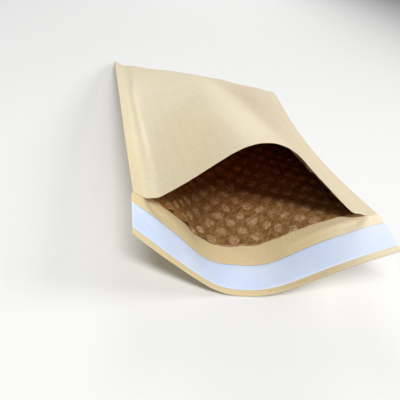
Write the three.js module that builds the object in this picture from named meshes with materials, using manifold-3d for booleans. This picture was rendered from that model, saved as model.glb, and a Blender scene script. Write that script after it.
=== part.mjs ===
// Padded mailing envelope of kraft paper with a bubble film lining, lying on its back with its mouth open.
// Millimetres, +Z up. X runs across the envelope, +Y points to its folded closed end and the flap lies
// towards -Y. The back panel rests on z = 0, and the origin is under the middle of the whole object.
import * as THREE from "three";
import { mergeVertices } from "three/addons/utils/BufferGeometryUtils.js";
import Module from "manifold-3d";

const wasm = await Module();
wasm.setup();

// The blank: one sheet of paper folded at the closed end and sealed along both sides.
const WIDTH = 250;
const POCKET_LENGTH = 340;
const FLAP_LENGTH = 43.5;
const PAPER = 0.5;
const SEAM = 9;
const SEAM_BLEND = 9;

// The bubble film lining, pressed thin at the fold and cut a little short of the mouth.
const LINING = 3;
const LINING_AT_FOLD = 1;
const FOLD_RUN = 35;
const LINING_SETBACK = 11.5;
const LINING_FOLD = 3;
const SHEET_GAP = 0.3;

// Steps from a side seam's inner edge to the edges of the paper's hollow, the lining and its hollow.
const HOLLOW_INSET = 2.5;
const LINING_INSET = 1;
const LINING_SEAM = 3;

// The closing strip on the flap.
const LINER_FROM_MOUTH = 11.5;
const LINER_WIDTH = 26;
const ADHESIVE_MARGIN = 3;
const STRIP = 0.3;

// The open mouth, as slopes in degrees that each panel takes across its width. Places are measured from
// the nearer side edge, and those of the crest and of the resting strip from the middle.
const LEFT_SEAM_SLOPE = -50;
const RIGHT_SEAM_SLOPE = -6;
const FRONT_LEFT = { place: 28, slope: 17 };
const FRONT_RISE = { place: 80, slope: 18 };
const FRONT_CREST = { place: 27, slope: -58 };
const FRONT_RIGHT = { place: 34, slope: -54.5 };
const BACK_LEFT = { place: 72, slope: -67 };
const BACK_RIGHT_PLACE = 95;
const REST_PLACE = -8;
const REST_STRIP = 12;
const FLAP_LEFT_EDGE_SLOPE = -37.5;
const FLAP_LEFT = { place: 70, slope: -34 };
const FLAP_RIGHT = { place: 84, slope: 35.5 };
const FLAP_RIGHT_EDGE_SLOPE = 26.5;

// How fast the mouth's shape grows out of the flat closed end, and how far it leans over on the way.
const OPENING_POWER = 0.93;
const LEAN = 24;

// Fineness of the mesh.
const COLUMN_WIDTH = 9;
const ROW_LENGTH = 26;
const FLAP_ROW_LENGTH = 6.5;
const STEPS = 8;

const HALF = WIDTH / 2;
const RAD = Math.PI / 180;

const mix = (a, b, t) => a + (b - a) * t;
const clamp01 = (t) => Math.min(1, Math.max(0, t));
const ease = (t) => t * t * (3 - 2 * t);

// The value at a place, easing from station to station. A station is [place, value].
function valueAt(stations, place) {
  let i = 1;
  while (i < stations.length - 1 && place > stations[i][0]) i++;
  const [fromPlace, from] = stations[i - 1];
  const [toPlace, to] = stations[i];
  return mix(from, to, ease(clamp01((place - fromPlace) / (toPlace - fromPlace))));
}

// Lines that divide a stretch into equal parts of about a given length, without its first end.
function divide(from, to, length) {
  const parts = Math.max(1, Math.round((to - from) / length));
  return Array.from({ length: parts }, (_, i) => mix(from, to, (i + 1) / parts));
}

// The lines of the blank that every layer shares: columns across it and rows along it.
const seamEdge = HALF - SEAM;
const hollowSide = seamEdge - HOLLOW_INSET;
const liningSide = hollowSide - LINING_INSET;
const liningHollowSide = liningSide - LINING_SEAM;
const paddedSide = seamEdge - SEAM_BLEND;
const restLeft = REST_PLACE - REST_STRIP / 2;
const restRight = REST_PLACE + REST_STRIP / 2;
const sideLines = [HALF, seamEdge, hollowSide, liningSide, liningHollowSide, paddedSide];
const columnLines = [
  ...sideLines.map((place) => -place),
  ...divide(-paddedSide, restLeft, COLUMN_WIDTH),
  restRight,
  ...divide(restRight, paddedSide, COLUMN_WIDTH),
  ...sideLines.slice(0, -1).reverse(),
];
const lastColumn = columnLines.length - 1;
const hollowStart = PAPER;
const liningStart = hollowStart + SHEET_GAP;
const liningHollowStart = liningStart + LINING_FOLD;
const liningEnd = POCKET_LENGTH - LINING_SETBACK;
const linerStart = POCKET_LENGTH + LINER_FROM_MOUTH;
const linerEnd = linerStart + LINER_WIDTH;
const adhesiveStart = linerStart + ADHESIVE_MARGIN;
const adhesiveEnd = linerEnd - ADHESIVE_MARGIN;
const flapEnd = POCKET_LENGTH + FLAP_LENGTH;
const rowLines = [
  0,
  hollowStart,
  liningStart,
  liningHollowStart,
  ...divide(liningHollowStart, FOLD_RUN, FOLD_RUN / 3),
  ...divide(FOLD_RUN, liningEnd, ROW_LENGTH),
  POCKET_LENGTH,
  ...divide(POCKET_LENGTH, linerStart, FLAP_ROW_LENGTH),
  adhesiveStart,
  ...divide(adhesiveStart, adhesiveEnd, FLAP_ROW_LENGTH),
  linerEnd,
  flapEnd,
];
const lastRow = rowLines.length - 1;
const lineAt = (lines, place) => lines.findIndex((line) => Math.abs(line - place) < 1e-6);
const mouthRow = lineAt(rowLines, POCKET_LENGTH);

// Depths of the layers, measured square to the plane in which the two panels are sealed together.
function liningAt(along) {
  return mix(LINING_AT_FOLD, LINING, Math.sqrt(clamp01(along / FOLD_RUN)));
}
function swell(across, along) {
  const side = ease(clamp01((seamEdge - Math.abs(across)) / SEAM_BLEND));
  const flap = 1 - clamp01((along - POCKET_LENGTH) / FLAP_LENGTH);
  return side * flap;
}
function paperInside(across, along) {
  return swell(across, along) * (SHEET_GAP + liningAt(along) + SHEET_GAP);
}
function paperOutside(across, along) {
  return paperInside(across, along) + PAPER;
}
function liningOutside(across, along) {
  return paperInside(across, along) - SHEET_GAP;
}
function liningInside() {
  return SHEET_GAP / 2;
}

// Slopes across a panel at a share t of the way from the closed end to the mouth, in degrees.
const lean = (t) => LEAN * t * t;
const seamSlopes = (t) => ({
  left: LEFT_SEAM_SLOPE * t ** OPENING_POWER + lean(t),
  right: RIGHT_SEAM_SLOPE * t ** OPENING_POWER + lean(t),
});
function frontSlope(across, t) {
  const seam = seamSlopes(t);
  const grown = (slope) => slope * t ** OPENING_POWER + lean(t);
  return valueAt(
    [
      [-HALF, seam.left],
      [-seamEdge, seam.left],
      [-HALF + FRONT_LEFT.place, grown(FRONT_LEFT.slope)],
      [-HALF + FRONT_RISE.place, grown(FRONT_RISE.slope)],
      [FRONT_CREST.place, grown(FRONT_CREST.slope)],
      [HALF - FRONT_RIGHT.place, grown(FRONT_RIGHT.slope)],
      [seamEdge, seam.right],
      [HALF, seam.right],
    ],
    across,
  );
}
function backSlope(across, t, rightSlope) {
  const seam = seamSlopes(t);
  return valueAt(
    [
      [-HALF, seam.left],
      [-seamEdge, seam.left],
      [-HALF + BACK_LEFT.place, BACK_LEFT.slope * t ** OPENING_POWER + lean(t)],
      [restLeft, 0],
      [restRight, 0],
      [HALF - BACK_RIGHT_PLACE, rightSlope],
      [seamEdge, seam.right],
      [HALF, seam.right],
    ],
    across,
  );
}
function flapEdgeSlope(across) {
  return valueAt(
    [
      [-HALF, FLAP_LEFT_EDGE_SLOPE],
      [-HALF + FLAP_LEFT.place, FLAP_LEFT.slope],
      [HALF - FLAP_RIGHT.place, FLAP_RIGHT.slope],
      [HALF, FLAP_RIGHT_EDGE_SLOPE],
    ],
    across,
  );
}

// One row of a panel: the curve that its slopes give at the full width of the paper.
function curve(slopeAt) {
  let x = 0;
  let z = 0;
  return columnLines.map((line, c) => {
    const before = columnLines[Math.max(0, c - 1)];
    const step = (line - before) / STEPS;
    for (let i = 0; i < STEPS; i++) {
      const slope = slopeAt(before + (i + 0.5) * step) * RAD;
      x += step * Math.cos(slope);
      z += step * Math.sin(slope);
    }
    const slope = slopeAt(line) * RAD;
    return { x, z, nx: -Math.sin(slope), nz: Math.cos(slope) };
  });
}

// The back panel's right flank turns until both panels end at the same height at the right seam.
function backCurve(t, frontHeight) {
  let low = -30;
  let high = 89;
  for (let i = 0; i < 50; i++) {
    const middle = (low + high) / 2;
    const end = curve((across) => backSlope(across, t, middle))[lastColumn];
    if (end.z < frontHeight) low = middle;
    else high = middle;
  }
  const slope = (low + high) / 2;
  return { slope, row: curve((across) => backSlope(across, t, slope)) };
}

// The rows at one place along the envelope are centred on the width, and the lowest paper meets z = 0.
function settle(back, front, along) {
  const shift = -(back[0].x + back[lastColumn].x) / 2;
  const undersides = back.map(({ z, nz }, c) => z - nz * paperOutside(columnLines[c], along));
  const rise = -Math.min(...undersides);
  for (const point of [...back, ...front]) {
    point.x += shift;
    point.z += rise;
  }
}

// Rows of both panels, and of the flap as more rows of the back panel.
const frontRows = [];
const backRows = [];
let mouthSlope = 0;
for (const along of rowLines.slice(0, mouthRow + 1)) {
  const t = along / POCKET_LENGTH;
  const front = curve((across) => frontSlope(across, t));
  const back = backCurve(t, front[lastColumn].z);
  const slack = front[lastColumn].x - back.row[lastColumn].x;
  back.row.forEach((point, c) => {
    point.x += (slack * (columnLines[c] + HALF)) / WIDTH;
  });
  settle(back.row, front, along);
  frontRows.push(front);
  backRows.push(back.row);
  mouthSlope = back.slope;
}
for (const along of rowLines.slice(mouthRow + 1)) {
  const g = (along - POCKET_LENGTH) / FLAP_LENGTH;
  const row = curve((across) => mix(backSlope(across, 1, mouthSlope), flapEdgeSlope(across), g));
  settle(row, [], along);
  backRows.push(row);
}

// Paper doesn't stretch, so the rows of a panel close up along Y where the panel rises or draws in.
function layAlong(rows) {
  rows[0].forEach((point) => {
    point.y = 0;
  });
  for (let r = 1; r < rows.length; r++) {
    const length = rowLines[r] - rowLines[r - 1];
    rows[r].forEach((point, c) => {
      const before = rows[r - 1][c];
      const aside = Math.hypot(point.x - before.x, point.z - before.z);
      point.y = before.y - Math.sqrt(Math.max(length ** 2 - aside ** 2, 0));
    });
  }
}
layAlong(frontRows);
layAlong(backRows);
const planLength = -Math.min(...backRows[lastRow].map((point) => point.y));
const closedEnd = planLength / 2;

// A point at a depth outside the seam plane of a panel.
const outOf = (point, depth) => [
  point.x + depth * point.nx,
  point.y + closedEnd,
  point.z + depth * point.nz,
];
const frontPoint = (r, c, depth) => outOf(frontRows[r][c], depth);
const backPoint = (r, c, depth) => outOf(backRows[r][c], -depth);

// A box bent to lie between two surfaces, with its rows and columns on the shared lines.
function slab({ rows, columns, low, high }) {
  const [fromRow, toRow] = rows;
  const [fromColumn, toColumn] = columns;
  const across = toColumn - fromColumn;
  const along = toRow - fromRow;
  const box = new THREE.BoxGeometry(across, along, 1, across, along, 1);
  const corners = box.attributes.position;
  for (let i = 0; i < corners.count; i++) {
    const c = Math.round(fromColumn + across / 2 + corners.getX(i));
    const r = Math.round(toRow - along / 2 - corners.getY(i));
    const surface = corners.getZ(i) > 0 ? high : low;
    corners.setXYZ(i, ...surface(r, c));
  }
  return box;
}

function toSolid(geometry) {
  const bare = geometry.clone();
  bare.deleteAttribute("normal");
  bare.deleteAttribute("uv");
  const merged = mergeVertices(bare, 1e-5);
  return new wasm.Manifold(
    new wasm.Mesh({
      numProp: 3,
      vertProperties: new Float32Array(merged.attributes.position.array),
      triVerts: new Uint32Array(merged.index.array),
    }),
  );
}

function toGeometry(solid) {
  const mesh = solid.getMesh();
  const geometry = new THREE.BufferGeometry();
  geometry.setAttribute("position", new THREE.BufferAttribute(mesh.vertProperties, 3));
  geometry.setIndex(new THREE.BufferAttribute(mesh.triVerts, 1));
  geometry.computeVertexNormals();
  return geometry;
}

// Depth functions read at a row and a column.
const atLines = (depth) => (r, c) => depth(columnLines[c], rowLines[r]);
const outside = atLines(paperOutside);
const inside = atLines(paperInside);
const liningOuter = atLines(liningOutside);
const liningInner = atLines(liningInside);

// The paper: a full block, less what lies above the flap, less the hollow of the pocket.
const CLEARANCE = 2;
const COVER = 6;
function raised(point, height) {
  return [point[0], point[1], point[2] + height];
}
function pastEdges(point, r, c) {
  const sideways = c === 0 ? -CLEARANCE : c === lastColumn ? CLEARANCE : 0;
  const onward = r === lastRow ? -CLEARANCE : 0;
  return [point[0] + sideways, point[1] + onward, point[2]];
}
const envelopeBlock = slab({
  rows: [0, lastRow],
  columns: [0, lastColumn],
  low: (r, c) => backPoint(r, c, outside(r, c)),
  high: (r, c) =>
    r <= mouthRow ? frontPoint(r, c, outside(r, c)) : raised(backPoint(r, c, 0), COVER),
});
const aboveFlap = slab({
  rows: [mouthRow, lastRow],
  columns: [0, lastColumn],
  low: (r, c) => pastEdges(backPoint(r, c, inside(r, c)), r, c),
  high: (r, c) =>
    r === mouthRow
      ? pastEdges(frontPoint(r, c, outside(r, c) + CLEARANCE), r, c)
      : pastEdges(raised(backPoint(r, c, 0), COVER + CLEARANCE), r, c),
});
const hollowColumn = lineAt(columnLines, -hollowSide);
const pocketHollow = slab({
  rows: [lineAt(rowLines, hollowStart), mouthRow + 1],
  columns: [hollowColumn, lastColumn - hollowColumn],
  low: (r, c) => backPoint(r, c, inside(r, c)),
  high: (r, c) =>
    r <= mouthRow ? frontPoint(r, c, inside(r, c)) : raised(backPoint(r, c, 0), COVER / 2),
});
const kraftPaper = toSolid(envelopeBlock)
  .subtract(toSolid(aboveFlap))
  .subtract(toSolid(pocketHollow));

// The lining: a folded web inside the paper, open towards the mouth.
const liningColumn = lineAt(columnLines, -liningSide);
const liningHollowColumn = lineAt(columnLines, -liningHollowSide);
const liningEndRow = lineAt(rowLines, liningEnd);
const liningBlock = slab({
  rows: [lineAt(rowLines, liningStart), liningEndRow],
  columns: [liningColumn, lastColumn - liningColumn],
  low: (r, c) => backPoint(r, c, liningOuter(r, c)),
  high: (r, c) => frontPoint(r, c, liningOuter(r, c)),
});
const liningHollow = slab({
  rows: [lineAt(rowLines, liningHollowStart), liningEndRow + 1],
  columns: [liningHollowColumn, lastColumn - liningHollowColumn],
  low: (r, c) => backPoint(r, c, liningInner(r, c)),
  high: (r, c) => frontPoint(r, c, liningInner(r, c)),
});
const bubbleLining = toSolid(liningBlock).subtract(toSolid(liningHollow));

// A strip that lies on the inner face of the flap, a given height above it.
function flapStrip(from, to, height) {
  return slab({
    rows: [lineAt(rowLines, from), lineAt(rowLines, to)],
    columns: [0, lastColumn],
    low: (r, c) => backPoint(r, c, inside(r, c) - height),
    high: (r, c) => backPoint(r, c, inside(r, c) - height - STRIP),
  });
}

const PAPER_LOOK = { color: 0xe1d2b2, roughness: 0.85, metalness: 0 };
const LINING_LOOK = { color: 0x8a6438, roughness: 0.4, metalness: 0 };
const ADHESIVE_LOOK = { color: 0xe9dfc4, roughness: 0.25, metalness: 0 };
const LINER_LOOK = { color: 0xdde5f7, roughness: 0.35, metalness: 0 };

function piece(name, geometry, look) {
  const mesh = new THREE.Mesh(geometry, new THREE.MeshStandardMaterial(look));
  mesh.name = name;
  return mesh;
}

const envelope = new THREE.Group();
envelope.add(
  piece("kraft_paper", toGeometry(kraftPaper), PAPER_LOOK),
  piece("bubble_lining", toGeometry(bubbleLining), LINING_LOOK),
  piece("adhesive_strip", flapStrip(adhesiveStart, adhesiveEnd, SHEET_GAP), ADHESIVE_LOOK),
  piece("release_liner", flapStrip(linerStart, linerEnd, 2 * SHEET_GAP + STRIP), LINER_LOOK),
);
export default envelope;
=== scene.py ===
import math

import bpy
import numpy as np
from mathutils import Matrix, Vector


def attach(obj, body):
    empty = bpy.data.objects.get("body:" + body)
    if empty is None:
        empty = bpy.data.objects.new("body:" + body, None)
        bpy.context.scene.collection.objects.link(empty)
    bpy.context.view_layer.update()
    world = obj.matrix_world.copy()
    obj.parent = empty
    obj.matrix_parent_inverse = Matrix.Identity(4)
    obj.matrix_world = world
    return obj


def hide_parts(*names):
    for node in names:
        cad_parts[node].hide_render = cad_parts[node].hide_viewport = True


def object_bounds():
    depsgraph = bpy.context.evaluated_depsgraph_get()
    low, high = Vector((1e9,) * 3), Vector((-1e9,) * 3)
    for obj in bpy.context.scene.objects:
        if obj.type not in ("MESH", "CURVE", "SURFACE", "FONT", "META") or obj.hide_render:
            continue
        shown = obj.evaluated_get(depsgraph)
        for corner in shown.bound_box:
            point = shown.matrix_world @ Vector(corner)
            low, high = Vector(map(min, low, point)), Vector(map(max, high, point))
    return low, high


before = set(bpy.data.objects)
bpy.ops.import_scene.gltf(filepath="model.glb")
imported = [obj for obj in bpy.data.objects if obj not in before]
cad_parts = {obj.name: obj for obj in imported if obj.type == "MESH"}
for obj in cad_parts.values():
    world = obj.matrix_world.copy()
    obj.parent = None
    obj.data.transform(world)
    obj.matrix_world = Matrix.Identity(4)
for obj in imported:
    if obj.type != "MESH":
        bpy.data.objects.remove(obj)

cad_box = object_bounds()

# Camera and stage
# The camera looks down into the open mouth from past the flap, a little from the left and rolled over,
# as the photograph was taken. The envelope lies on a plain pale floor in soft studio light.
MM = 0.001
IMAGE_WIDTH = 400
FOCAL_PIXELS = 400.0
SENSOR_WIDTH = 36.0
CAMERA_PLACE = Vector((-137.35, -367.94, 258.71)) * MM
CAMERA_HEADING = math.radians(-20.04)
CAMERA_TILT = math.radians(49.92)
CAMERA_ROLL = math.radians(19.04)
FLOOR_COLOUR = (0.86, 0.86, 0.85, 1.0)
FLOOR_REACH = 3.0
FLOOR_DROP = 0.0002
LAMP_TARGET = Vector((0.0, -0.02, 0.04))
SKY_COLOUR = (0.95, 0.97, 1.0, 1.0)
SKY_STRENGTH = 0.14

camera_data = bpy.data.cameras.new("camera")
camera_data.sensor_width = SENSOR_WIDTH
camera_data.lens = FOCAL_PIXELS / IMAGE_WIDTH * SENSOR_WIDTH
camera_data.clip_start = 0.01
camera = bpy.data.objects.new("camera", camera_data)
bpy.context.scene.collection.objects.link(camera)
camera.matrix_world = (
    Matrix.Translation(CAMERA_PLACE)
    @ Matrix.Rotation(CAMERA_HEADING, 4, "Z")
    @ Matrix.Rotation(CAMERA_TILT, 4, "X")
    @ Matrix.Rotation(CAMERA_ROLL, 4, "Z")
)
bpy.context.scene.camera = camera
bpy.context.scene.view_settings.view_transform = "Standard"


def node_material(name):
    """A new material with its node tree, its links and its main shader."""
    material = bpy.data.materials.new(name)
    material.use_nodes = True
    nodes = material.node_tree.nodes
    return material, nodes, material.node_tree.links, nodes["Principled BSDF"]


floor_material, nodes, links, shader = node_material("pale_floor")
shader.inputs["Base Color"].default_value = FLOOR_COLOUR
shader.inputs["Roughness"].default_value = 0.9
shader.inputs["Specular IOR Level"].default_value = 0.1
floor_mesh = bpy.data.meshes.new("floor")
floor_corners = [(x * FLOOR_REACH, y * FLOOR_REACH, 0.0) for x, y in ((-1, -1), (1, -1), (1, 1), (-1, 1))]
floor_mesh.from_pydata(floor_corners, [], [(0, 1, 2, 3)])
floor_mesh.materials.append(floor_material)
floor = bpy.data.objects.new("floor", floor_mesh)
floor.location.z = -FLOOR_DROP
bpy.context.scene.collection.objects.link(floor)


def area_lamp(name, place, size, power, colour):
    """A soft lamp that faces the envelope. Its size is its width and its height."""
    data = bpy.data.lights.new(name, "AREA")
    data.shape = "RECTANGLE"
    data.size, data.size_y = size
    data.energy = power
    data.color = colour
    lamp = bpy.data.objects.new(name, data)
    direction = LAMP_TARGET - Vector(place)
    lamp.matrix_world = Matrix.Translation(place) @ direction.to_track_quat("-Z", "Y").to_matrix().to_4x4()
    bpy.context.scene.collection.objects.link(lamp)


area_lamp("key_lamp", (-0.30, -0.68, 1.19), size=(0.8, 0.2), power=13.1, colour=(1.0, 1.0, 1.0))
area_lamp("side_lamp", (1.03, -0.02, 0.91), size=(0.6, 0.6), power=7.2, colour=(1.0, 0.99, 0.98))
area_lamp("back_lamp", (0.0, 1.15, 0.72), size=(0.6, 0.6), power=5.8, colour=(1.0, 1.0, 1.0))
world = bpy.data.worlds.new("studio")
bpy.context.scene.world = world
world.use_nodes = True
sky = world.node_tree.nodes["Background"]
sky.inputs["Color"].default_value = SKY_COLOUR
sky.inputs["Strength"].default_value = SKY_STRENGTH

# Kraft paper
# One sheet of pale golden kraft paper, folded once at the closed end and heat sealed along both sides.
# The front panel, the back panel and the flap past the mouth are this one sheet, bent but not stretched.

# Flat sizes in millimetres. Across the sheet runs from side to side, and along it runs from the closed end.
WIDTH = 250.0
POCKET_LENGTH = 340.0
FLAP_LENGTH = 43.5
SEAM = 9.0
# The padding swells to its full depth over the first of these, and over more at both ends.
SEAM_BLEND = 9.0
CLOSED_END_BLEND = 8.0
CLOSED_END_RUN = 190.0
FLAP_BLEND = 25.0
FLAP_BLEND_RUN = 12.0
# Layers, and how much thinner the lining is pressed at the fold.
LINING = 3.0
LINING_AT_FOLD = 1.0
FOLD_RUN = 35.0
LAYER_GAP = 0.3
PAPER_OUTSIDE = 0.5
PAPER_THICKNESS = 0.24
# The bend across each panel at the mouth and at the flap's edge: places in from a side, slopes in degrees.
# The crest and the strip on which the back panel rests have places across instead.
LEFT_SEAM_SLOPE = -50.0
RIGHT_SEAM_SLOPE = -6.0
FRONT_LEFT = (28.0, 17.0)
FRONT_RISE = (80.0, 18.0)
FRONT_CREST = (27.0, -58.0)
FRONT_RIGHT = (34.0, -54.5)
BACK_LEFT = (72.0, -67.0)
BACK_RIGHT_PLACE = 95.0
REST_PLACE = -8.0
REST_STRIP = 12.0
FLAP_LEFT_EDGE_SLOPE = -37.5
FLAP_LEFT = (70.0, -34.0)
FLAP_RIGHT = (84.0, 35.5)
FLAP_RIGHT_EDGE_SLOPE = 26.5
OPENING_POWER = 0.93
LEAN = 24.0
FLANK_SLOPES = (-30.0, 89.0)
FLANK_HALVINGS = 40
FINE_COLUMNS = 250
FINE_ROW = 3.0
half = WIDTH / 2
seam_edge = half - SEAM
flap_end = POCKET_LENGTH + FLAP_LENGTH


def eased(t):
    """A share from 0 to 1 that starts and ends gently."""
    t = np.clip(t, 0.0, 1.0)
    return t * t * (3.0 - 2.0 * t)


def value_at(stations, place):
    """The values at places, easing from station to station. A station is (place, value)."""
    places = np.array([station[0] for station in stations])
    values = np.array([station[1] for station in stations])
    i = np.clip(np.searchsorted(places, place, side="right") - 1, 0, len(places) - 2)
    share = eased((place - places[i]) / (places[i + 1] - places[i]))
    return values[i] + (values[i + 1] - values[i]) * share


def seam_slopes(t):
    """How far the pocket is open, its lean and both seams' slopes, at a share t of its length."""
    opened = t**OPENING_POWER
    lean = LEAN * t * t
    return opened, lean, LEFT_SEAM_SLOPE * opened + lean, RIGHT_SEAM_SLOPE * opened + lean


def front_slope(across, t):
    """Slopes in degrees across the front panel, a share t of the way from closed end to mouth."""
    opened, lean, left, right = seam_slopes(t)
    stations = [
        (-half, left),
        (-seam_edge, left),
        (-half + FRONT_LEFT[0], FRONT_LEFT[1] * opened + lean),
        (-half + FRONT_RISE[0], FRONT_RISE[1] * opened + lean),
        (FRONT_CREST[0], FRONT_CREST[1] * opened + lean),
        (half - FRONT_RIGHT[0], FRONT_RIGHT[1] * opened + lean),
        (seam_edge, right),
        (half, right),
    ]
    return value_at(stations, across)


def back_slope(across, t, right_flank):
    """Slopes in degrees across the back panel, flat where it rests."""
    opened, lean, left, right = seam_slopes(t)
    stations = [
        (-half, left),
        (-seam_edge, left),
        (-half + BACK_LEFT[0], BACK_LEFT[1] * opened + lean),
        (REST_PLACE - REST_STRIP / 2, 0.0),
        (REST_PLACE + REST_STRIP / 2, 0.0),
        (half - BACK_RIGHT_PLACE, right_flank),
        (seam_edge, right),
        (half, right),
    ]
    return value_at(stations, across)


def flap_edge_slope(across):
    """Slopes in degrees across the flap's free edge."""
    stations = [
        (-half, FLAP_LEFT_EDGE_SLOPE),
        (-half + FLAP_LEFT[0], FLAP_LEFT[1]),
        (half - FLAP_RIGHT[0], FLAP_RIGHT[1]),
        (half, FLAP_RIGHT_EDGE_SLOPE),
    ]
    return value_at(stations, across)


def seam_blend(along):
    """How far in from a seam the padding reaches its full depth, which is farther at both ends."""
    at_closed_end = CLOSED_END_BLEND * eased(1.0 - along / CLOSED_END_RUN)
    on_flap = FLAP_BLEND * eased((along - POCKET_LENGTH) / FLAP_BLEND_RUN)
    return SEAM_BLEND + at_closed_end + on_flap


def padding_side(across, along):
    """How much of the padding's full depth there is at a place, 0 in the seams and 1 inside."""
    return eased((seam_edge - np.abs(across)) / seam_blend(along))


def lining_depth(along):
    """Thickness of one layer of lining, pressed thin near the fold."""
    return LINING_AT_FOLD + (LINING - LINING_AT_FOLD) * np.sqrt(np.clip(along / FOLD_RUN, 0.0, 1.0))


def paper_inside(across, along):
    """Depth of the paper's inner face outside the plane in which the panels are sealed together."""
    flap = 1.0 - np.clip((along - POCKET_LENGTH) / FLAP_LENGTH, 0.0, 1.0)
    return padding_side(across, along) * flap * (LAYER_GAP + lining_depth(along) + LAYER_GAP)


fine_lines = np.linspace(-half, half, FINE_COLUMNS + 1)
fine_middles = (fine_lines[:-1] + fine_lines[1:]) / 2
fine_step = WIDTH / FINE_COLUMNS


def curve(slopes):
    """The curve across the sheet that slopes in degrees give, as x and z along it."""
    turn = np.radians(slopes)
    x = np.concatenate([[0.0], np.cumsum(np.cos(turn))]) * fine_step
    z = np.concatenate([[0.0], np.cumsum(np.sin(turn))]) * fine_step
    return x, z


def back_curve(t, front_height):
    """The back panel's curve, whose right flank turns until both panels meet at the right seam."""
    low, high = FLANK_SLOPES
    for _ in range(FLANK_HALVINGS):
        middle = (low + high) / 2
        x, z = curve(back_slope(fine_middles, t, middle))
        if z[-1] < front_height:
            low = middle
        else:
            high = middle
    return middle, x, z


def settled(rows, along):
    """Rows at one place along, centred on the width and with the lowest paper at height 0."""
    x, z = rows[0]
    slope = np.arctan2(np.gradient(z), np.gradient(x))
    depth = paper_inside(fine_lines, along) + PAPER_OUTSIDE
    shift = -(x[0] + x[-1]) / 2
    rise = -np.min(z - depth * np.cos(slope))
    return [(row_x + shift, row_z + rise) for row_x, row_z in rows]


def laid_along(rows, places):
    """The y of each row: paper doesn't stretch, so rows close up where the panel rises or draws in."""
    x = np.array([row[0] for row in rows])
    z = np.array([row[1] for row in rows])
    lengths = np.diff(places)[:, None]
    aside = np.diff(x, axis=0) ** 2 + np.diff(z, axis=0) ** 2
    steps = np.sqrt(np.maximum(lengths**2 - aside, 0.0))
    y = np.concatenate([np.zeros((1, x.shape[1])), -np.cumsum(steps, axis=0)])
    return np.stack([x, y, z], axis=-1)


pocket_rows = np.linspace(0.0, POCKET_LENGTH, round(POCKET_LENGTH / FINE_ROW) + 1)
flap_rows = np.linspace(POCKET_LENGTH, flap_end, round(FLAP_LENGTH / FINE_ROW) + 1)[1:]
front_curves = []
back_curves = []
for along in pocket_rows:
    t = along / POCKET_LENGTH
    front = curve(front_slope(fine_middles, t))
    mouth_slope, back_x, back_z = back_curve(t, front[1][-1])
    back_x = back_x + (front[0][-1] - back_x[-1]) * (fine_lines + half) / WIDTH
    back_row, front_row = settled([(back_x, back_z), front], along)
    front_curves.append(front_row)
    back_curves.append(back_row)
for along in flap_rows:
    g = (along - POCKET_LENGTH) / FLAP_LENGTH
    slopes = (1 - g) * back_slope(fine_middles, 1.0, mouth_slope) + g * flap_edge_slope(fine_middles)
    back_curves.extend(settled([curve(slopes)], along))
back_rows = np.concatenate([pocket_rows, flap_rows])
front_grid = laid_along(front_curves, pocket_rows)
back_grid = laid_along(back_curves, back_rows)
closed_end = cad_box[1][1] / MM
front_grid[..., 1] += closed_end
back_grid[..., 1] += closed_end


def bilinear(grid, rows, across, along):
    """A grid of values on the fine lines, read at places across and along."""
    c = np.clip((across + half) / fine_step, 0.0, FINE_COLUMNS - 1e-6)
    r = np.clip(np.interp(along, rows, np.arange(len(rows))), 0.0, len(rows) - 1 - 1e-6)
    c0 = c.astype(int)
    r0 = r.astype(int)
    fc = (c - c0)[..., None]
    fr = (r - r0)[..., None]
    upper = grid[r0, c0] * (1 - fc) + grid[r0, c0 + 1] * fc
    lower = grid[r0 + 1, c0] * (1 - fc) + grid[r0 + 1, c0 + 1] * fc
    return upper * (1 - fr) + lower * fr


def normals_of(grid, side):
    """Unit normals that point out of the pocket. The side is 1 on the front panel and -1 on the back."""
    across = np.gradient(grid, axis=1)
    along = np.gradient(grid, axis=0)
    normal = np.cross(along, across) * side
    return normal / np.linalg.norm(normal, axis=-1, keepdims=True)


panels = {
    "front": (front_grid, normals_of(front_grid, 1.0), pocket_rows),
    "back": (back_grid, normals_of(back_grid, -1.0), back_rows),
}


def at_depth(panel, across, along, depth):
    """Points of a panel at a depth outside the seam plane, in millimetres."""
    grid, normals, rows = panels[panel]
    across, along = np.broadcast_arrays(np.asarray(across, float), np.asarray(along, float))
    point = bilinear(grid, rows, across, along)
    normal = bilinear(normals, rows, across, along)
    return point + normal * np.asarray(depth, float)[..., None]


SHEET_COLUMNS = 132
SHEET_ROW = 2.6
FOLD_RADIUS = 2.4
FOLD_STEPS = 6
SHEET_CLEARANCE = 0.02
# The stiff sealed left corner of the closed end turns up.
EAR_REACH = 13.0
EAR_LIFT = 1.6
# Beside it the padding is pressed flat by a share, up to a reach along and from a start to an end across.
CORNER_PRESS = 0.62
CORNER_PRESS_REACH = 34.0
CORNER_PRESS_START = -seam_edge - 3.0
CORNER_PRESS_RISE = 7.0
CORNER_PRESS_END = -45.0
CORNER_PRESS_FALL = 45.0
# Puckers along the seams: their length, depth and reach, and what makes their spacing and size uneven.
PUCKER_LENGTH = 15.0
PUCKER_DEPTH = 0.45
PUCKER_REACH = 5.0
PUCKER_DRIFT = (2.1, 0.23)
PUCKER_BEAT = 0.37
# The bubbles stand in slanting rows: two steps from one to its neighbours, across and along the film, and
# the place of the first. They show faintly through the paper.
BUBBLE_STEP_DOWN = np.array([10.5, 9.2])
BUBBLE_STEP_UP = np.array([11.5, -11.75])
FIRST_BUBBLE = np.array([28.75, 307.5])
BUBBLE_PRINT = 0.1
# Slow swells of the padding: a depth, then two waves that are multiplied, each with its length across and
# along per radian and its start.
SWELLS = [
    (0.5, (23.0, 61.0, 0.7), (-71.0, 37.0, 0.0)),
    (0.25, (29.0, 17.0, 0.0), (13.0, math.inf, 1.3)),
]
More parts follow.
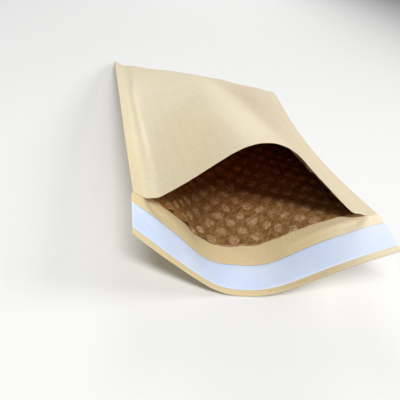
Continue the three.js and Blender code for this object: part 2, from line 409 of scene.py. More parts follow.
# Soft creases of the front panel, each from one place across and along to another, with depth and width.
FRONT_CREASES = [
    ((-76.0, 160.0), (-18.0, 100.0), 0.45, 4.0),
    ((-60.0, 198.0), (-26.0, 160.0), 0.35, 3.0),
    ((55.0, 84.0), (95.0, 42.0), -0.35, 3.0),
    ((30.0, 140.0), (62.0, 78.0), -0.3, 3.5),
    ((22.0, 60.0), (-4.0, 330.0), -0.5, 9.0),
    ((-111.0, 120.0), (-102.0, 345.0), -0.7, 3.0),
    ((104.0, 40.0), (103.0, 300.0), -0.35, 4.0),
]
CREASE_FADE = 0.3
# The ridge that reaches the closed end: its place across and along, its height and its reach each way.
END_RIDGE = (36.0, 14.0)
END_RIDGE_HEIGHT = 2.6
END_RIDGE_REACH = (24.0, 15.0)
# All small forms start gently from the fold, over this far along.
FORMS_START = 8.0


def fading(distance, reach):
    """A share that is 1 at a distance of 0 and fades out softly over a reach."""
    return np.exp(-((distance / reach) ** 2))


def crease(across, along, start, end, depth, width):
    """A soft straight dent between two places on a panel, fading out at its ends."""
    run = np.array(end) - np.array(start)
    length = np.hypot(*run)
    run = run / length
    forward = (across - start[0]) * run[0] + (along - start[1]) * run[1]
    aside = (across - start[0]) * run[1] - (along - start[1]) * run[0]
    run_in = CREASE_FADE * length
    fade = eased(forward / run_in) * eased((length - forward) / run_in)
    return -depth * fade * fading(aside, width)


def bubble_phase(across, along):
    """How many steps of each kind lie between a place on the film and the first bubble."""
    steps = np.linalg.inv(np.stack([BUBBLE_STEP_DOWN, BUBBLE_STEP_UP], axis=1))
    aside = across - FIRST_BUBBLE[0]
    ahead = along - FIRST_BUBBLE[1]
    return steps[0, 0] * aside + steps[0, 1] * ahead, steps[1, 0] * aside + steps[1, 1] * ahead


def wave(across, along, length_across, length_along, start):
    """A slanting sine wave over the sheet."""
    return np.sin(across / length_across + along / length_along + start)


def soft_spot(across, along, place, reach):
    """A share that is 1 at a place on the sheet and fades out over a reach across and a reach along."""
    return fading(across - place[0], reach[0]) * fading(along - place[1], reach[1])


def relief(panel, across, along):
    """Small true forms of the padded paper: seam puckers, bubbles that show through, swells and creases."""
    from_seam = seam_edge - np.abs(across)
    turn = 2 * math.pi * along / PUCKER_LENGTH
    drift, drift_beat = PUCKER_DRIFT
    drifted = turn + drift * np.sin(turn * drift_beat + np.sign(across))
    wobble = np.sin(drifted) * np.sin(turn * PUCKER_BEAT + 1.0)
    total = PUCKER_DEPTH * wobble * fading(from_seam - PUCKER_REACH, PUCKER_REACH)
    padded = padding_side(across, along) * np.clip((flap_end - along) / FLAP_LENGTH, 0.0, 1.0)
    down, up = bubble_phase(across, along if panel == "back" else -along)
    total = total + BUBBLE_PRINT * padded * np.cos(2 * math.pi * down) * np.cos(2 * math.pi * up)
    for depth, first, second in SWELLS:
        total = total + depth * padded * wave(across, along, *first) * wave(across, along, *second)
    if panel == "front":
        for start, end, depth, width in FRONT_CREASES:
            total = total + crease(across, along, start, end, depth, width)
        total = total + END_RIDGE_HEIGHT * soft_spot(across, along, END_RIDGE, END_RIDGE_REACH)
    return total * np.clip(along / FORMS_START, 0.0, 1.0)


def ear(across, along):
    """How far the stiff sealed corner at the closed end turns up."""
    away = np.hypot(across + half, along)
    return EAR_LIFT * eased(1.0 - away / EAR_REACH)


def pressed(points, across, along):
    """Lowers the padding beside the sealed corner of the closed end, where it is pressed flat."""
    near = eased(1.0 - along / CORNER_PRESS_REACH)
    near = near * eased((across - CORNER_PRESS_START) / CORNER_PRESS_RISE)
    near = near * eased((CORNER_PRESS_END - across) / CORNER_PRESS_FALL)
    points[..., 2] *= 1.0 - CORNER_PRESS * near
    return points


def paper_points(panel, across, along, into, fold):
    """Points of the paper, into deep under its outer face. The fold is the share of depth that it leaves."""
    depth = paper_inside(across, along) + SHEET_CLEARANCE + PAPER_THICKNESS
    depth = (depth + relief(panel, across, along)) * fold
    points = at_depth(panel, across, along, np.maximum(depth, PAPER_THICKNESS * fold) - into)
    points = pressed(points, across, along)
    points[..., 2] += ear(across, along)
    points[..., 2] = np.maximum(points[..., 2], into)
    return points


def shell(name, outer, inner, uv):
    """A closed thin mesh between two grids of points in millimetres, with a UV map of the flat sheet."""
    rows, columns = outer.shape[:2]
    count = rows * columns
    points = np.concatenate([outer.reshape(-1, 3), inner.reshape(-1, 3)]) * MM
    index = np.arange(count).reshape(rows, columns)
    quad = np.stack([index[:-1, :-1], index[1:, :-1], index[1:, 1:], index[:-1, 1:]], axis=-1)
    quad = quad.reshape(-1, 4)
    rim = np.concatenate([index[0, :-1], index[:-1, -1], index[-1, :0:-1], index[:0:-1, 0]])
    beyond = np.roll(rim, -1)
    wall = np.stack([rim, beyond, beyond + count, rim + count], axis=-1)
    faces = np.concatenate([quad, quad[:, ::-1] + count, wall])
    mesh = bpy.data.meshes.new(name)
    mesh.from_pydata(points.tolist(), [], faces.tolist())
    places = np.concatenate([uv.reshape(-1, 2), uv.reshape(-1, 2)]) * MM
    layer = mesh.uv_layers.new(name="sheet")
    layer.data.foreach_set("uv", places[faces.reshape(-1)].astype(np.float32).ravel())
    smooth = np.ones(len(faces), bool)
    smooth[2 * len(quad):] = False
    mesh.polygons.foreach_set("use_smooth", smooth)
    mesh.update()
    piece = bpy.data.objects.new(name, mesh)
    bpy.context.scene.collection.objects.link(piece)
    return piece


def facing_out(piece):
    """Turns a closed piece's faces outward where its rows ran the other way."""
    mesh = piece.data
    points = np.array([vertex.co for vertex in mesh.vertices])
    mesh.calc_loop_triangles()
    corners = points[np.array([triangle.vertices for triangle in mesh.loop_triangles])]
    volume = np.einsum("ij,ij->i", corners[:, 0], np.cross(corners[:, 1], corners[:, 2])).sum()
    if volume < 0:
        mesh.flip_normals()


sheet_columns = np.linspace(-half, half, SHEET_COLUMNS + 1)
turns = np.linspace(0.0, math.pi / 2, FOLD_STEPS + 1)[1:]
fold_rows = FOLD_RADIUS * (1 - np.cos(turns))
pocket_places = np.linspace(FOLD_RADIUS, POCKET_LENGTH, round(POCKET_LENGTH / SHEET_ROW))[1:]
flap_places = np.linspace(POCKET_LENGTH, flap_end, round(FLAP_LENGTH / SHEET_ROW))[1:]
front_places = np.concatenate([fold_rows, pocket_places])
back_places = np.concatenate([fold_rows, pocket_places, flap_places])
front_fold = np.concatenate([np.sin(turns), np.ones(len(pocket_places))])[:, None]
back_fold = np.concatenate([np.sin(turns), np.ones(len(pocket_places) + len(flap_places))])[:, None]
fold_line = (sheet_columns[None, :], np.zeros((1, 1)))


def paper_face(into):
    """The whole sheet at one depth, from the front panel's mouth edge round the fold to the flap's edge."""
    front = paper_points("front", sheet_columns[None, :], front_places[:, None], into, front_fold)
    back = paper_points("back", sheet_columns[None, :], back_places[:, None], into, back_fold)
    folded = at_depth("back", *fold_line, 0.0)
    folded[..., 1] -= into
    folded = pressed(folded, *fold_line)
    folded[..., 2] += ear(*fold_line)
    return np.concatenate([front[::-1], folded, back])


paper_v = np.concatenate([-front_places[::-1], [0.0], back_places])
paper_uv = np.stack(np.meshgrid(sheet_columns, paper_v), axis=-1)
kraft_paper = shell("kraft_paper_sheet", paper_face(0.0), paper_face(PAPER_THICKNESS), paper_uv)
facing_out(kraft_paper)

KRAFT_PALE = (0.822, 0.728, 0.54, 1.0)
KRAFT_GOLDEN = (0.797, 0.693, 0.485, 1.0)
KRAFT_FLECK = (0.89, 0.84, 0.70, 1.0)
FLECK_SHARE = (0.45, 0.45, 0.45, 1.0)
FIBRE_SHADE = (0.9, 0.88, 0.84, 1.0)
BLACK = (0.0, 0.0, 0.0, 1.0)
WHITE = (1.0, 1.0, 1.0, 1.0)
# Scales of the paper's patterns per metre, and how they are stretched along the sheet.
CLOUD_SCALE = 14.0
FIBRE_SCALE = 1500.0
FLECK_SCALE = 420.0
GRAIN_SCALE = 900.0
CRUMPLE_SCALE = 55.0
FIBRE_STRETCH = 0.22
SHEET_STRETCH = 0.8
# Factors of the paper's colour on the inner faces of the back panel and the front panel: painted golden
# shade on the back panel's, and painted reddish light on the front panel's shaded inner face.
KRAFT_INSIDE_PAINTED_SHADE = (0.965, 0.905, 0.73)
FRONT_INSIDE_PAINTED_LIGHT = (1.15, 0.86, 0.68)
# Painted light and shade and the uneven tone of the front panel's outer face and the back panel's inner one:
# place across and along, reach each way and change of colour.
FRONT_TONES_AND_PAINTED_LIGHT = [
    # Painted highlight along the crest, then at its upper end.
    ((-14.0, 240.0), (17.0, 110.0), (0.07, 0.075, 0.09)),
    ((-8.0, 112.0), (17.0, 52.0), (0.09, 0.1, 0.09)),
    # Painted highlight beside the left seam.
    ((-101.0, 215.0), (12.0, 120.0), (0.04, 0.06, 0.09)),
    # Painted shade in the dip left of the crest.
    ((-62.0, 290.0), (28.0, 80.0), (-0.01, -0.03, -0.13)),
    # Painted shade at the right of the closed end.
    ((60.0, 70.0), (45.0, 75.0), (-0.1, -0.15, -0.15)),
    # Pinker on the right flank.
    ((70.0, 220.0), (40.0, 80.0), (0.0, -0.04, -0.05)),
    # Painted shade low by both seams.
    ((-122.0, 300.0), (14.0, 80.0), (-0.05, -0.03, -0.09)),
    ((100.0, 300.0), (22.0, 90.0), (-0.05, -0.02, -0.03)),
]
INSIDE_TONES_AND_PAINTED_LIGHT = [
    # Painted light at the right of the flap next to the mouth.
    ((120.0, 350.0), (40.0, 60.0), (0.19, 0.29, 0.66)),
    # Darker at the flap's edge right of the middle.
    ((62.0, 383.0), (34.0, 7.0), (-0.17, -0.2, -0.22)),
]


def toned(tones_and_painted_light, across, along):
    """Multipliers of the paper's colour at places on a panel, painted light and shade among them."""
    colour = np.ones(across.shape + (3,))
    for place, reach, change in tones_and_painted_light:
        colour += soft_spot(across, along, place, reach)[..., None] * np.array(change)
    return colour


panel_along = np.abs(paper_uv[..., 1])
on_front = (paper_uv[..., 1] < 0)[..., None]
# The uneven tone and the painted light and shade of both faces go onto the points as colour factors.
outer_tone_and_painted_light = np.where(on_front, toned(FRONT_TONES_AND_PAINTED_LIGHT, paper_uv[..., 0], panel_along), 1.0)
back_inside_painted_light = toned(INSIDE_TONES_AND_PAINTED_LIGHT, paper_uv[..., 0], panel_along) * np.array(KRAFT_INSIDE_PAINTED_SHADE)
inner_painted_light = np.where(on_front, np.array(FRONT_INSIDE_PAINTED_LIGHT), back_inside_painted_light)
tones_and_painted_light = np.concatenate([outer_tone_and_painted_light.reshape(-1, 3), inner_painted_light.reshape(-1, 3)])
tones_and_painted_light = np.concatenate([tones_and_painted_light, np.ones((len(tones_and_painted_light), 1))], axis=1)
tone_and_painted_light = kraft_paper.data.attributes.new("tone_and_painted_light", "FLOAT_COLOR", "POINT")
tone_and_painted_light.data.foreach_set("color", tones_and_painted_light.astype(np.float32).ravel())
kraft, nodes, links, shader = node_material("pale_kraft_paper")


def sheet_noise(nodes, links, scale, stretch, detail=3.0):
    """Noise on a piece's sheet UV map, with a scale per metre that may be stretched along the sheet."""
    place = nodes.new("ShaderNodeUVMap")
    place.uv_map = "sheet"
    mapping = nodes.new("ShaderNodeMapping")
    mapping.inputs["Scale"].default_value = (scale, scale * stretch, scale)
    noise = nodes.new("ShaderNodeTexNoise")
    noise.inputs["Scale"].default_value = 1.0
    noise.inputs["Detail"].default_value = detail
    noise.inputs["Roughness"].default_value = 0.55
    links.new(place.outputs["UV"], mapping.inputs["Vector"])
    links.new(mapping.outputs["Vector"], noise.inputs["Vector"])
    return noise.outputs["Fac"]


def ramp(nodes, links, value, low, high, dark, light):
    """A colour ramp from one colour at low to another at high."""
    node = nodes.new("ShaderNodeValToRGB")
    node.color_ramp.elements[0].position = low
    node.color_ramp.elements[0].color = dark
    node.color_ramp.elements[1].position = high
    node.color_ramp.elements[1].color = light
    links.new(value, node.inputs["Fac"])
    return node.outputs["Color"]


def plain_colour(nodes, colour):
    """A node that gives one colour."""
    node = nodes.new("ShaderNodeRGB")
    node.outputs[0].default_value = colour
    return node.outputs[0]


def attribute(nodes, name, output):
    """A value stored on a piece's points."""
    node = nodes.new("ShaderNodeAttribute")
    node.attribute_name = name
    return node.outputs[output]


def blended(nodes, links, amount, first, second, mode="MIX"):
    """Two colours mixed by an amount, which is a socket or a number."""
    node = nodes.new("ShaderNodeMix")
    node.data_type = "RGBA"
    node.blend_type = mode
    if isinstance(amount, float):
        node.inputs[0].default_value = amount
    else:
        links.new(amount, node.inputs[0])
    links.new(first, node.inputs[6])
    links.new(second, node.inputs[7])
    return node.outputs[2]


def bumped(nodes, links, height, strength, distance, below=None):
    """A bump node over an earlier one."""
    node = nodes.new("ShaderNodeBump")
    node.inputs["Strength"].default_value = strength
    node.inputs["Distance"].default_value = distance
    links.new(height, node.inputs["Height"])
    if below is not None:
        links.new(below, node.inputs["Normal"])
    return node.outputs["Normal"]


clouds = sheet_noise(nodes, links, CLOUD_SCALE, SHEET_STRETCH, detail=6.0)
fibres = sheet_noise(nodes, links, FIBRE_SCALE, FIBRE_STRETCH, detail=2.0)
flecks = sheet_noise(nodes, links, FLECK_SCALE, SHEET_STRETCH, detail=1.0)
grain = sheet_noise(nodes, links, GRAIN_SCALE, SHEET_STRETCH, detail=4.0)
crumple = sheet_noise(nodes, links, CRUMPLE_SCALE, SHEET_STRETCH)
tone = ramp(nodes, links, clouds, 0.35, 0.65, KRAFT_GOLDEN, KRAFT_PALE)
fibre_tone = ramp(nodes, links, fibres, 0.3, 0.7, FIBRE_SHADE, WHITE)
tone = blended(nodes, links, 1.0, tone, fibre_tone, "MULTIPLY")
fleck_place = ramp(nodes, links, flecks, 0.62, 0.74, BLACK, FLECK_SHARE)
tone = blended(nodes, links, fleck_place, tone, plain_colour(nodes, KRAFT_FLECK))
# Here the painted light and shade are multiplied into the paper's colour.
tone = blended(nodes, links, 1.0, tone, attribute(nodes, "tone_and_painted_light", "Color"), "MULTIPLY")
links.new(tone, shader.inputs["Base Color"])
shader.inputs["Roughness"].default_value = 0.62
shader.inputs["Specular IOR Level"].default_value = 0.35
normal = bumped(nodes, links, crumple, strength=0.35, distance=0.0006)
normal = bumped(nodes, links, grain, strength=0.35, distance=0.0001, below=normal)
links.new(normal, shader.inputs["Normal"])
kraft_paper.data.materials.append(kraft)
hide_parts("kraft_paper")
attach(kraft_paper, "root")

# Bubble lining
# A folded web of bubble film sealed into the sides of the paper. Its flat round bubbles face into the
# pocket in slanting rows, brown over the kraft with crumpled crowns, pale partly of themselves and partly by
# a painted highlight, and it ends short of the mouth.
LINING_SETBACK = 11.5
FILM_THICKNESS = 0.15
FILM_START = 2.0
FILM_LEAST_DEPTH = 0.2
# The film's sides lie at this part of the seams' soft run.
FILM_SIDE_PART = 1 / 3
# Near the floor its layers keep their order up to this height.
FILM_STACK = 1.0
FILM_COLUMNS = 110
FILM_ROWS = 90
# The cut edge is ragged over this much of the film, in rows that close up towards it.
FILM_EDGE = 9.0
FILM_EDGE_SHARES = [0.18, 0.36, 0.54, 0.7, 0.82, 0.92, 1.0]
# Waves of the cut edge, each with its size and length. Then places where it runs out farther, and places
# where it lifts off the paper, each with its place across, its reach and its size.
FILM_WAVES = [(0.4, 83.0), (0.35, 23.0), (0.2, 9.0)]
FILM_TONGUES = [(-17.0, 14.0, 3.2), (-86.0, 8.0, 3.0)]
FILM_LIFTS = [
    (-84.0, 4.5, 3.2),
    (-61.0, 5.5, 3.2),
    (-37.0, 5.0, 2.6),
    (-12.0, 5.0, 1.3),
    (4.0, 6.0, 1.5),
    (27.0, 5.0, 0.9),
    (64.0, 8.0, 0.7),
]
FILM_LIFT_POWER = 1.3
# The cut edge is stretched pale in the middle: the place across, the reach and the width of that lip.
LIP_MIDDLE = -6.0
LIP_REACH = 26.0
LIP_WIDTH = 1.4
BUBBLE_WIDTH = 13.6
BUBBLE_HEIGHT = 1.6
BUBBLE_SIDES = 10
# The foot has an inner ring at this share of its radius, and is set this deep into the film.
BUBBLE_FOOT_SHARE = 0.5
BUBBLE_SINK = 0.1
# Bubbles keep this far from the film's sides and fold, and from its cut edge. Their grid reaches past those.
BUBBLE_MARGIN = 6.0
BUBBLE_EDGE_MARGIN = 1.0
BUBBLE_GRID_REACH = 60
# Bubbles lack up to this share of their air, and their crowns are crumpled this far.
BUBBLE_SLACK = 0.5
BUBBLE_CRUMPLE = 3.2
BUBBLE_SEED = 7
# Folds of the crumpled crowns: their scale per metre, and the noise at which a crown stays in place.
CROWN_FOLD_SCALE = 300.0
CROWN_FOLD_MIDDLE = (0.5, 0.5, 0.6)
# Rings of one bubble from foot to crown: share of its radius, share of its height, share of crown.
BUBBLE_RINGS = [(1.0, 0.0, 0.0), (0.84, 0.14, 0.2), (0.6, 0.55, 0.55), (0.34, 0.9, 0.9)]
# The pale patch on a crown, partly the film's own milky paleness and partly a painted highlight, runs along
# the steeper step of the rows, give or take this turn and this shift.
PATCH_TURN = math.radians(45.0)
PATCH_TURN_SPREAD = math.radians(18.0)
PATCH_SHIFT = 0.22
film_end = POCKET_LENGTH - LINING_SETBACK


def film_side(along):
    """Half the width of the film, whose sides lie in the soft run of the seams."""
    return seam_edge - seam_blend(along) * FILM_SIDE_PART


def film_outside(panel, across, along):
    """Depth of the lining's face that lies on the paper and follows its small forms."""
    depth = paper_inside(across, along) - LAYER_GAP + relief(panel, across, along)
    return np.maximum(depth, FILM_LEAST_DEPTH)


def film_points(panel, across, along, into):
    """Points of the lining, into deep under its face, kept above the paper on the floor."""
    points = at_depth(panel, across, along, film_outside(panel, across, along) - into)
    points = pressed(points, across, along)
    floor_paper = PAPER_THICKNESS + SHEET_CLEARANCE
    points[..., 2] = np.maximum(points[..., 2], floor_paper + np.minimum(into, FILM_STACK))
    return points


film_columns = np.linspace(-1.0, 1.0, FILM_COLUMNS)
film_edge_rows = film_end - FILM_EDGE + FILM_EDGE * np.array(FILM_EDGE_SHARES)
film_rows = np.concatenate([np.linspace(FILM_START, film_end - FILM_EDGE, FILM_ROWS), film_edge_rows])


def edge_form(across, along):
    """How far the film's ragged cut edge runs out past a straight line, and how far it lifts off."""
    near_edge = np.clip(1.0 - (film_end - along) / FILM_EDGE, 0.0, 1.0)
    ragged = 0.0
    for size, length in FILM_WAVES:
        ragged = ragged + size * np.sin(2 * math.pi * across / length + length)
    for middle, reach, size in FILM_TONGUES:
        ragged = ragged + size * fading(across - middle, reach)
    lifted = 0.0
    for middle, reach, height in FILM_LIFTS:
        lifted = lifted + height * fading(across - middle, reach)
    return ragged * near_edge, lifted * near_edge**FILM_LIFT_POWER


def film_face(panel, into):
    """One panel of the film, up to its cut edge."""
    along = film_rows[:, None]
    across = film_columns[None, :] * film_side(along)
    ragged, lifted = edge_form(across, along)
    return film_points(panel, across, along + ragged, into + lifted)


def film_ring(into):
    """Both panels of the film as one web round the fold."""
    return np.concatenate([film_face("front", into)[::-1], film_face("back", into)])


film_uv = np.stack(np.meshgrid(film_columns, np.concatenate([-film_rows[::-1], film_rows])), axis=-1)
film_uv[..., 0] *= film_side(np.abs(film_uv[..., 1]))
film = shell("film", film_ring(0.0), film_ring(FILM_THICKNESS), film_uv)
facing_out(film)
from_cut = film_end - np.abs(film_uv[..., 1])
lip = fading(film_uv[..., 0] - LIP_MIDDLE, LIP_REACH) * np.clip(1.0 - from_cut / LIP_WIDTH, 0.0, 1.0)
lip_values = film.data.attributes.new("lip", "FLOAT", "POINT")
lip_values.data.foreach_set("value", np.tile(lip.reshape(-1), 2).astype(np.float32))


def bubble_shape():
    """One bubble: a low dome with a closed foot, standing on its origin, and a value for its crown."""
    points = []
    crown = []
    for share, height, crown_share in BUBBLE_RINGS:
        for i in range(BUBBLE_SIDES):
            turn = 2 * math.pi * i / BUBBLE_SIDES
            points.append((0.5 * share * math.cos(turn), 0.5 * share * math.sin(turn), height))
            crown.append(crown_share)
    points.append((0.0, 0.0, 1.0))
    crown.append(1.0)
    top = len(points) - 1
    for i in range(BUBBLE_SIDES):
        points.append((points[i][0] * BUBBLE_FOOT_SHARE, points[i][1] * BUBBLE_FOOT_SHARE, 0.0))
        crown.append(0.0)
    points.append((0.0, 0.0, 0.0))
    crown.append(0.0)
    faces = []
    last_ring = (len(BUBBLE_RINGS) - 1) * BUBBLE_SIDES
    for i in range(BUBBLE_SIDES):
        beyond = (i + 1) % BUBBLE_SIDES
        for lower in range(0, last_ring, BUBBLE_SIDES):
            upper = lower + BUBBLE_SIDES
            faces.append((lower + i, lower + beyond, upper + beyond, upper + i))
        faces.append((last_ring + i, last_ring + beyond, top))
        faces.append((beyond, i, top + 1 + i, top + 1 + beyond))
        faces.append((top + 1 + beyond, top + 1 + i, len(points) - 1))
    mesh = bpy.data.meshes.new("bubble_shape")
    mesh.from_pydata(points, [], faces)
    mesh.polygons.foreach_set("use_smooth", [True] * len(faces))
    values = mesh.attributes.new("crown", "FLOAT", "POINT")
    values.data.foreach_set("value", np.array(crown, np.float32))
    return bpy.data.objects.new("bubble_shape", mesh)


def bubble_places():
    """Places of all bubbles on the film laid flat: across, and along with the front panel's half below 0."""
    steps = np.arange(-BUBBLE_GRID_REACH, BUBBLE_GRID_REACH + 1)
    i, j = np.meshgrid(steps, steps)
    places = FIRST_BUBBLE + i.reshape(-1, 1) * BUBBLE_STEP_DOWN + j.reshape(-1, 1) * BUBBLE_STEP_UP
    depth = np.abs(places[:, 1])
    on_film = np.abs(places[:, 0]) < film_side(depth) - BUBBLE_MARGIN
    on_film = on_film & (depth < film_end - BUBBLE_EDGE_MARGIN) & (depth > FILM_START + BUBBLE_MARGIN)
    return places[on_film]


def bent_into_pocket(flat):
    """Points of the flat bubbled film, in millimetres with their height, bent round with the panels."""
    bent = np.zeros_like(flat)
    for panel, on_panel in (("front", flat[:, 1] < 0), ("back", flat[:, 1] >= 0)):
        across, along, height = flat[on_panel].T
        along = np.minimum(np.abs(along), film_end)
        room = film_outside(panel, across, along) - FILM_THICKNESS - LAYER_GAP / 2
        height = height * np.clip(room / BUBBLE_HEIGHT, 0.0, 1.0)
        ragged, lifted = edge_form(across, along)
        height = height + lifted + FILM_THICKNESS - BUBBLE_SINK
        bent[on_panel] = film_points(panel, across, along + ragged, height)
    return bent


def bubble_tree(material):
    """Geometry nodes that stand one bubble on each point of the flat film and crumple its crown."""
    tree = bpy.data.node_groups.new("bubble_rows", "GeometryNodeTree")
    kinds = {"Geometry": "Geometry", "Bubble": "Object", "Width": "Float", "Height": "Float"}
    kinds.update({"Slack": "Float", "Crumple": "Float", "Seed": "Int"})
    for name, kind in kinds.items():
        tree.interface.new_socket(name, in_out="INPUT", socket_type="NodeSocket" + kind)
    tree.interface.new_socket("Geometry", in_out="OUTPUT", socket_type="NodeSocketGeometry")
    node = tree.nodes.new
    link = tree.links.new
    given = node("NodeGroupInput")

    # Each bubble is blown to a random share of its height, from 1 less the slack up to 1.
    least = node("ShaderNodeMath")
    least.operation = "SUBTRACT"
    least.inputs[0].default_value = 1.0
    link(given.outputs["Slack"], least.inputs[1])
    air = node("FunctionNodeRandomValue")
    air.data_type = "FLOAT"
    air.inputs[3].default_value = 1.0
    link(least.outputs[0], air.inputs[2])
    link(given.outputs["Seed"], air.inputs["Seed"])
    height = node("ShaderNodeMath")
    height.operation = "MULTIPLY"
    link(given.outputs["Height"], height.inputs[0])
    link(air.outputs[1], height.inputs[1])

    # The one bubble stands on every point at that size.
    size = node("ShaderNodeCombineXYZ")
    link(given.outputs["Width"], size.inputs["X"])
    link(given.outputs["Width"], size.inputs["Y"])
    link(height.outputs[0], size.inputs["Z"])
    source = node("GeometryNodeObjectInfo")
    link(given.outputs["Bubble"], source.inputs["Object"])
    standing = node("GeometryNodeInstanceOnPoints")
    link(given.outputs["Geometry"], standing.inputs["Points"])
    link(source.outputs["Geometry"], standing.inputs["Instance"])
    link(size.outputs["Vector"], standing.inputs["Scale"])
    real = node("GeometryNodeRealizeInstances")
    link(standing.outputs["Instances"], real.inputs["Geometry"])

    # Noise moves the points of the crowns, and the feet stay.
    folds = node("ShaderNodeTexNoise")
    folds.inputs["Scale"].default_value = CROWN_FOLD_SCALE
    folds.inputs["Detail"].default_value = 1.0
    shift = node("ShaderNodeVectorMath")
    shift.operation = "SUBTRACT"
    shift.inputs[1].default_value = CROWN_FOLD_MIDDLE
    link(folds.outputs["Color"], shift.inputs[0])
    crown = node("GeometryNodeInputNamedAttribute")
    crown.data_type = "FLOAT"
    crown.inputs["Name"].default_value = "crown"
    amount = node("ShaderNodeMath")
    amount.operation = "MULTIPLY"
    link(crown.outputs["Attribute"], amount.inputs[0])
    link(given.outputs["Crumple"], amount.inputs[1])
    offset = node("ShaderNodeVectorMath")
    offset.operation = "SCALE"
    link(shift.outputs["Vector"], offset.inputs[0])
    link(amount.outputs[0], offset.inputs["Scale"])
    crumpled = node("GeometryNodeSetPosition")
    link(real.outputs["Geometry"], crumpled.inputs["Geometry"])
    link(offset.outputs["Vector"], crumpled.inputs["Offset"])

    finish = node("GeometryNodeSetMaterial")
    finish.inputs["Material"].default_value = material
    link(crumpled.outputs["Geometry"], finish.inputs["Geometry"])
    result = node("NodeGroupOutput")
    link(finish.outputs["Geometry"], result.inputs["Geometry"])
    return tree


def set_inputs(modifier, values):
    """Sets Geometry Nodes inputs by the identifiers of their sockets."""
    for item in modifier.node_group.interface.items_tree:
        if item.item_type == "SOCKET" and item.in_out == "INPUT" and item.name in values:
            modifier[item.identifier] = values[item.name]


FILM_BROWN = (0.205, 0.1, 0.026, 1.0)
FILM_TAN = (0.375, 0.205, 0.068, 1.0)
FILM_LIP = (0.62, 0.38, 0.26, 1.0)
CROWN_DULL = (0.38, 0.215, 0.08, 1.0)
# The crown's pale colour is partly a painted highlight.
CROWN_PALE_AND_HIGHLIGHT = (0.67, 0.455, 0.275, 1.0)
STREAK_SHADE = (0.35, 0.35, 0.35, 1.0)
# Factors of the colour: painted shade, darker and redder, deep in the pocket, and painted light at the left
# of the mouth. Each grows from one place to another along an axis.
FILM_DEEP_PAINTED_SHADE = (1.4, 0.84, 0.6, 1.0)
PAINTED_SHADE_ALONG_Y = (-0.105, -0.025)
FILM_LEFT_PAINTED_LIGHT = (1.75, 1.62, 1.4, 1.0)
PAINTED_LIGHT_ALONG_X = (-0.035, -0.085)
PAINTED_LIGHT_ALONG_Y = (-0.065, -0.11)
# Scales of the film's patterns per metre, and how far they are stretched along the patches.
PULL_SCALE = 330.0
STREAK_SCALE = 750.0
STREAK_STRETCH = 3.0
WEB_SCALE = 400.0
WEB_STRETCH = 2.2
CROWN_SCALE = 430.0
CRINKLE_SCALE = 260.0
CRINKLE_STRETCH = 1.6
# How far noise pulls a patch out of shape, and the factors that make it an oval, in radii of a bubble.
PATCH_PULL = (1.5, 1.5, 0.0)
PATCH_OVAL = (0.7, 1.1, 0.0)
lining_material, nodes, links, shader = node_material("bubble_film_over_kraft")
place = nodes.new("ShaderNodeTexCoord")


def film_noise(scale, detail, stretch=1.0, output="Fac"):
    """Noise in the lining's own place, with a scale per metre, stretched along the patches on the crowns."""
    mapping = nodes.new("ShaderNodeMapping")
    mapping.vector_type = "TEXTURE"
    mapping.inputs["Rotation"].default_value = (0.0, 0.0, PATCH_TURN)
    mapping.inputs["Scale"].default_value = (stretch, 1.0, 1.0)
    noise = nodes.new("ShaderNodeTexNoise")
    noise.inputs["Scale"].default_value = scale
    noise.inputs["Detail"].default_value = detail
    links.new(place.outputs["Object"], mapping.inputs["Vector"])
    links.new(mapping.outputs["Vector"], noise.inputs["Vector"])
    return noise.outputs[output]


def multiplied(first, second):
    """The product of two shares."""
    node = nodes.new("ShaderNodeMath")
    node.operation = "MULTIPLY"
    links.new(first, node.inputs[0])
    links.new(second, node.inputs[1])
    return node.outputs[0]


def share_between(nodes, links, axis, start, end):
    """A share that grows from 0 to 1 between two places along one of the piece's axes."""
    place = nodes.new("ShaderNodeTexCoord")
    apart = nodes.new("ShaderNodeSeparateXYZ")
    node = nodes.new("ShaderNodeMapRange")
    node.inputs["From Min"].default_value = start
    node.inputs["From Max"].default_value = end
    links.new(place.outputs["Object"], apart.inputs["Vector"])
    links.new(apart.outputs[axis], node.inputs["Value"])
    return node.outputs["Result"]


# Each pale patch is an oval round a bubble's middle, pulled out of shape by noise and broken by streaks. It
# is partly the film's own paleness and partly a painted highlight.
centred = nodes.new("ShaderNodeVectorMath")
centred.operation = "SUBTRACT"
centred.inputs[1].default_value = (0.5, 0.5, 0.5)
links.new(film_noise(PULL_SCALE, 2.0, output="Color"), centred.inputs[0])
pulled = nodes.new("ShaderNodeVectorMath")
pulled.operation = "MULTIPLY_ADD"
pulled.inputs[1].default_value = PATCH_PULL
links.new(centred.outputs["Vector"], pulled.inputs[0])
links.new(attribute(nodes, "patch", "Vector"), pulled.inputs[2])
oval = nodes.new("ShaderNodeVectorMath")
oval.operation = "MULTIPLY"
oval.inputs[1].default_value = PATCH_OVAL
links.new(pulled.outputs["Vector"], oval.inputs[0])
from_middle = nodes.new("ShaderNodeVectorMath")
from_middle.operation = "LENGTH"
links.new(oval.outputs["Vector"], from_middle.inputs[0])
patch = ramp(nodes, links, from_middle.outputs["Value"], 0.45, 0.99, WHITE, BLACK)
on_bubble = ramp(nodes, links, attribute(nodes, "crown", "Fac"), 0.02, 0.3, BLACK, WHITE)
streaks = film_noise(STREAK_SCALE, 3.0, STREAK_STRETCH)
streak_tone = ramp(nodes, links, streaks, 0.36, 0.6, STREAK_SHADE, WHITE)
crown_pale_and_highlight_place = multiplied(multiplied(patch, on_bubble), streak_tone)
web_noise = film_noise(WEB_SCALE, 4.0, WEB_STRETCH)
web_tone = ramp(nodes, links, web_noise, 0.38, 0.64, FILM_BROWN, FILM_TAN)
crown_tone_and_highlight = ramp(nodes, links, film_noise(CROWN_SCALE, 3.0), 0.38, 0.62, CROWN_DULL, CROWN_PALE_AND_HIGHLIGHT)
film_tone_and_painted_light = blended(nodes, links, crown_pale_and_highlight_place, web_tone, crown_tone_and_highlight)
